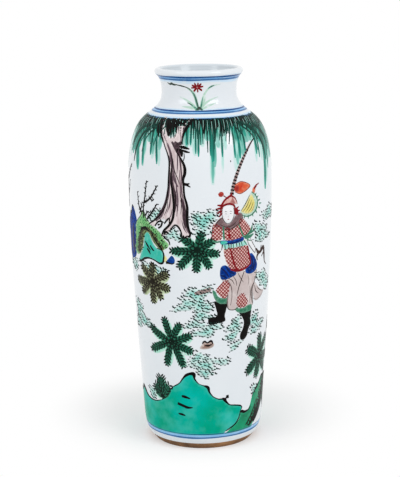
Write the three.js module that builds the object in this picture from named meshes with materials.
// Tall cylindrical porcelain vase, in millimetres, +Z up, origin at the centre of the foot.
//
// A pot this tall is thrown as several short sections. The sections dry until they are
// leather hard, are luted on top of each other with slip, and are then turned, glazed and fired.
// Each thrown section is a solid of its own here, and neighbours meet in a stepped luting joint:
// the inner half of the wall stands up as a tongue inside the outer half of the section above.

import * as THREE from "three";

// Heights along the axis, from the foot up.
const CHAMFER_HEIGHT = 8; // bare, knife-pared band round the foot
const HEEL_HEIGHT = 22; // curve from the pared band into the wall
const WALL_HEIGHT = 270; // long, slowly swelling wall
const SHOULDER_HEIGHT = 68; // rounded shoulder
const COVE_HEIGHT = 26; // hollow curve from the shoulder into the neck
const MOUTH_HEIGHT = 26; // neck that flares out into the lip

// Radii of the outside.
const FOOT_RADIUS = 55.5;
const GLAZE_EDGE_RADIUS = 62;
const HEEL_RADIUS = 67;
const BELLY_RADIUS = 79.5;
const SHOULDER_EDGE_RADIUS = 60;
const NECK_RADIUS = 41.2;
const MOUTH_RADIUS = 48.6;
const LIP_ROLL_RADIUS = 3.6;

// Thickness of the clay.
const WALL_THICKNESS = 5;
const FLOOR_THICKNESS = 7;
const FOOT_RING_WIDTH = 6;
const FOOT_RECESS = 3; // how far the underside lies above the foot ring
const FOOT_RECESS_SLOPE = 1.5; // how far the recess closes in as it rises

// Luting joints between the thrown sections.
const TONGUE_HEIGHT = 3;
const BASE_SECTION_HEIGHT = 14;
const LOWER_SECTION_HEIGHT = 150;
const SEAM_ABOVE_WALL = 14; // the shoulder section starts this far up the shoulder
const SEAM_IN_COVE = 16; // the neck section starts this far up the cove

// How full each curve is. Its control points lie at these shares of the way across, from the
// radius where it starts to the radius where it ends, and of the way up.
const HEEL_PULL = { across: 0.8, up: 0.36 };
const WALL_LOW_PULL = { across: 0.42, up: 0.31 };
const WALL_HIGH_PULL = { across: 1.03, up: 0.65 };
const SHOULDER_LOW_PULL = { across: 0, up: 0.54 };
const SHOULDER_HIGH_PULL = { across: 0.34, up: 0.84 };
const COVE_LOW_PULL = { across: 0.58, up: 0.35 };
const COVE_HIGH_PULL = { across: 1, up: 0.5 };
const LIP_START_ANGLE = -50; // degrees below the horizontal, where the flare meets the lip roll
const CORNER_TUCK = 0.2; // how far, in walls, the inside corner at the floor leans in
const THROAT_LEAN = 0.3; // how far, in lip rolls, the throat leans in below the lip

const SIDES = 40;
const CURVE_STEPS = 6;
const WALL_STEPS = 8;
const LIP_STEPS = 6;

// Heights that follow from the ones above.
const heelTop = CHAMFER_HEIGHT + HEEL_HEIGHT;
const wallTop = heelTop + WALL_HEIGHT;
const shoulderTop = wallTop + SHOULDER_HEIGHT;
const coveTop = shoulderTop + COVE_HEIGHT;
const vaseTop = coveTop + MOUTH_HEIGHT;
const floorHeight = FOOT_RECESS + FLOOR_THICKNESS;

const seamHeights = {
  base: BASE_SECTION_HEIGHT,
  lower: BASE_SECTION_HEIGHT + LOWER_SECTION_HEIGHT,
  shoulder: wallTop + SEAM_ABOVE_WALL,
  neck: shoulderTop + SEAM_IN_COVE,
};

const point = (radius, height) => new THREE.Vector2(radius, height);

// The lip is a round roll. The flare of the neck runs into it from below on a tangent.
const lipCentre = point(MOUTH_RADIUS - LIP_ROLL_RADIUS, vaseTop - LIP_ROLL_RADIUS);
const lipStartAngle = THREE.MathUtils.degToRad(LIP_START_ANGLE);
const lipStart = lipPoint(lipStartAngle);

function lipPoint(angle) {
  return point(
    lipCentre.x + LIP_ROLL_RADIUS * Math.cos(angle),
    lipCentre.y + LIP_ROLL_RADIUS * Math.sin(angle),
  );
}

function controlPoint(start, end, pull) {
  return point(
    THREE.MathUtils.lerp(start.x, end.x, pull.across),
    THREE.MathUtils.lerp(start.y, end.y, pull.up),
  );
}

function softCurve(start, end, ...pulls) {
  const controls = pulls.map((pull) => controlPoint(start, end, pull));
  const Curve = controls.length === 1 ? THREE.QuadraticBezierCurve : THREE.CubicBezierCurve;
  return new Curve(start, ...controls, end);
}

// The outside of the vase as one smooth path from the foot ring to the top of the lip.
function outsideProfile() {
  const foot = point(FOOT_RADIUS, 0);
  const glazeEdge = point(GLAZE_EDGE_RADIUS, CHAMFER_HEIGHT);
  const heel = point(HEEL_RADIUS, heelTop);
  const belly = point(BELLY_RADIUS, wallTop);
  const shoulderEdge = point(SHOULDER_EDGE_RADIUS, shoulderTop);
  const neck = point(NECK_RADIUS, coveTop);

  const heelCurve = softCurve(glazeEdge, heel, HEEL_PULL);
  const wallCurve = softCurve(heel, belly, WALL_LOW_PULL, WALL_HIGH_PULL);
  const shoulderCurve = softCurve(belly, shoulderEdge, SHOULDER_LOW_PULL, SHOULDER_HIGH_PULL);
  const coveCurve = softCurve(shoulderEdge, neck, COVE_LOW_PULL, COVE_HIGH_PULL);
  const tangentDrop = (lipStart.x - NECK_RADIUS) / Math.tan(-lipStartAngle);
  const flareCurve = new THREE.QuadraticBezierCurve(
    neck,
    point(NECK_RADIUS, lipStart.y - tangentDrop),
    lipStart,
  );
  const lip = [];
  for (let step = 1; step <= LIP_STEPS; step++) {
    const share = step / LIP_STEPS;
    lip.push(lipPoint(THREE.MathUtils.lerp(lipStartAngle, Math.PI / 2, share)));
  }
  return [
    foot,
    ...heelCurve.getPoints(CURVE_STEPS),
    ...wallCurve.getPoints(WALL_STEPS).slice(1),
    ...shoulderCurve.getPoints(WALL_STEPS).slice(1),
    ...coveCurve.getPoints(CURVE_STEPS).slice(1),
    ...flareCurve.getPoints(CURVE_STEPS).slice(1),
    ...lip,
  ];
}

// The inside of the vase from the floor's edge to the top of the lip: the outside, moved in by
// the thickness of the wall, with a rounded corner at the floor.
function insideProfile(outside) {
  const inside = [];
  for (let i = 1; i < outside.length - 1; i++) {
    const along = point(0, 0).subVectors(outside[i + 1], outside[i - 1]).normalize();
    const moved = point(
      outside[i].x - along.y * WALL_THICKNESS,
      outside[i].y + along.x * WALL_THICKNESS,
    );
    const aboveFloor = moved.y > floorHeight + WALL_THICKNESS;
    if (aboveFloor && outside[i].y <= lipStart.y - LIP_ROLL_RADIUS) inside.push(moved);
  }
  const first = inside[0];
  const corner = new THREE.QuadraticBezierCurve(
    point(first.x - WALL_THICKNESS, floorHeight),
    point(first.x - WALL_THICKNESS * CORNER_TUCK, floorHeight),
    first,
  );
  const last = inside[inside.length - 1];
  const lipInside = lipPoint(Math.PI);
  const throat = new THREE.QuadraticBezierCurve(
    last,
    point(lipInside.x - LIP_ROLL_RADIUS * THROAT_LEAN, (last.y + lipInside.y) / 2),
    lipInside,
  );
  const roll = [];
  for (let step = 1; step <= LIP_STEPS / 2; step++) {
    const share = step / (LIP_STEPS / 2);
    roll.push(lipPoint(THREE.MathUtils.lerp(Math.PI, Math.PI / 2, share)));
  }
  return [
    ...corner.getPoints(CURVE_STEPS / 2),
    ...inside.slice(1),
    ...throat.getPoints(CURVE_STEPS / 2).slice(1),
    ...roll,
  ];
}

const outside = outsideProfile();
const inside = insideProfile(outside);

function radiusAt(profile, height) {
  for (let i = 1; i < profile.length; i++) {
    const below = profile[i - 1];
    const above = profile[i];
    if (below.y <= height && height <= above.y && above.y > below.y) {
      return THREE.MathUtils.mapLinear(height, below.y, above.y, below.x, above.x);
    }
  }
  throw new Error(`the profile has no point at height ${height}`);
}

function pointsBetween(profile, low, high) {
  return profile.filter((p) => p.y > low && p.y < high);
}

// The step of a luting joint, from the outside of the wall to the inside.
function seamStep(height) {
  const tongueTop = height + TONGUE_HEIGHT;
  const outerRadius = radiusAt(outside, height);
  const innerRadius = radiusAt(inside, tongueTop);
  const stepRadius = (outerRadius + innerRadius) / 2;
  return [
    point(outerRadius, height),
    point(stepRadius, height),
    point(stepRadius, tongueTop),
    point(innerRadius, tongueTop),
  ];
}

// A section of the wall between two luting joints, as a profile that closes on itself.
function wallSection(lowSeam, highSeam) {
  const low = seamStep(lowSeam);
  const high = seamStep(highSeam);
  const inner = pointsBetween(inside, lowSeam + TONGUE_HEIGHT, highSeam + TONGUE_HEIGHT);
  return [
    ...low.toReversed(),
    ...pointsBetween(outside, lowSeam, highSeam),
    ...high,
    ...inner.reverse(),
    low[3],
  ];
}

// The thrown disc of the base, with the foot ring pared from it.
function baseSection() {
  const high = seamStep(seamHeights.base);
  const ringInside = FOOT_RADIUS - FOOT_RING_WIDTH;
  const inner = inside.filter((p) => p.y < seamHeights.base + TONGUE_HEIGHT);
  return [
    point(0, FOOT_RECESS),
    point(ringInside - FOOT_RECESS_SLOPE, FOOT_RECESS),
    point(ringInside, 0),
    ...outside.filter((p) => p.y < seamHeights.base),
    ...high,
    ...inner.reverse(),
    point(0, floorHeight),
  ];
}

// The neck runs from its joint in the cove to the lip, where the outside and inside meet.
function neckSection() {
  const low = seamStep(seamHeights.neck);
  const inner = inside.filter((p) => p.y > seamHeights.neck + TONGUE_HEIGHT);
  return [
    ...low.toReversed(),
    ...outside.filter((p) => p.y > seamHeights.neck),
    ...inner.reverse().slice(1),
    low[3],
  ];
}

const glazedPorcelain = () =>
  new THREE.MeshStandardMaterial({ color: "#e3ebee", roughness: 0.12, metalness: 0 });
const barePorcelain = () =>
  new THREE.MeshStandardMaterial({ color: "#8a6238", roughness: 0.8, metalness: 0 });

function thrownSection(name, profile, material) {
  const geometry = new THREE.LatheGeometry(profile, SIDES);
  geometry.rotateX(Math.PI / 2);
  const mesh = new THREE.Mesh(geometry, material);
  mesh.name = name;
  return mesh;
}

const vase = new THREE.Group();
vase.add(
  thrownSection("base_and_foot_section", baseSection(), barePorcelain()),
  thrownSection(
    "lower_body_section",
    wallSection(seamHeights.base, seamHeights.lower),
    glazedPorcelain(),
  ),
  thrownSection(
    "upper_body_section",
    wallSection(seamHeights.lower, seamHeights.shoulder),
    glazedPorcelain(),
  ),
  thrownSection(
    "shoulder_section",
    wallSection(seamHeights.shoulder, seamHeights.neck),
    glazedPorcelain(),
  ),
  thrownSection("neck_and_lip_section", neckSection(), glazedPorcelain()),
);

export default vase;
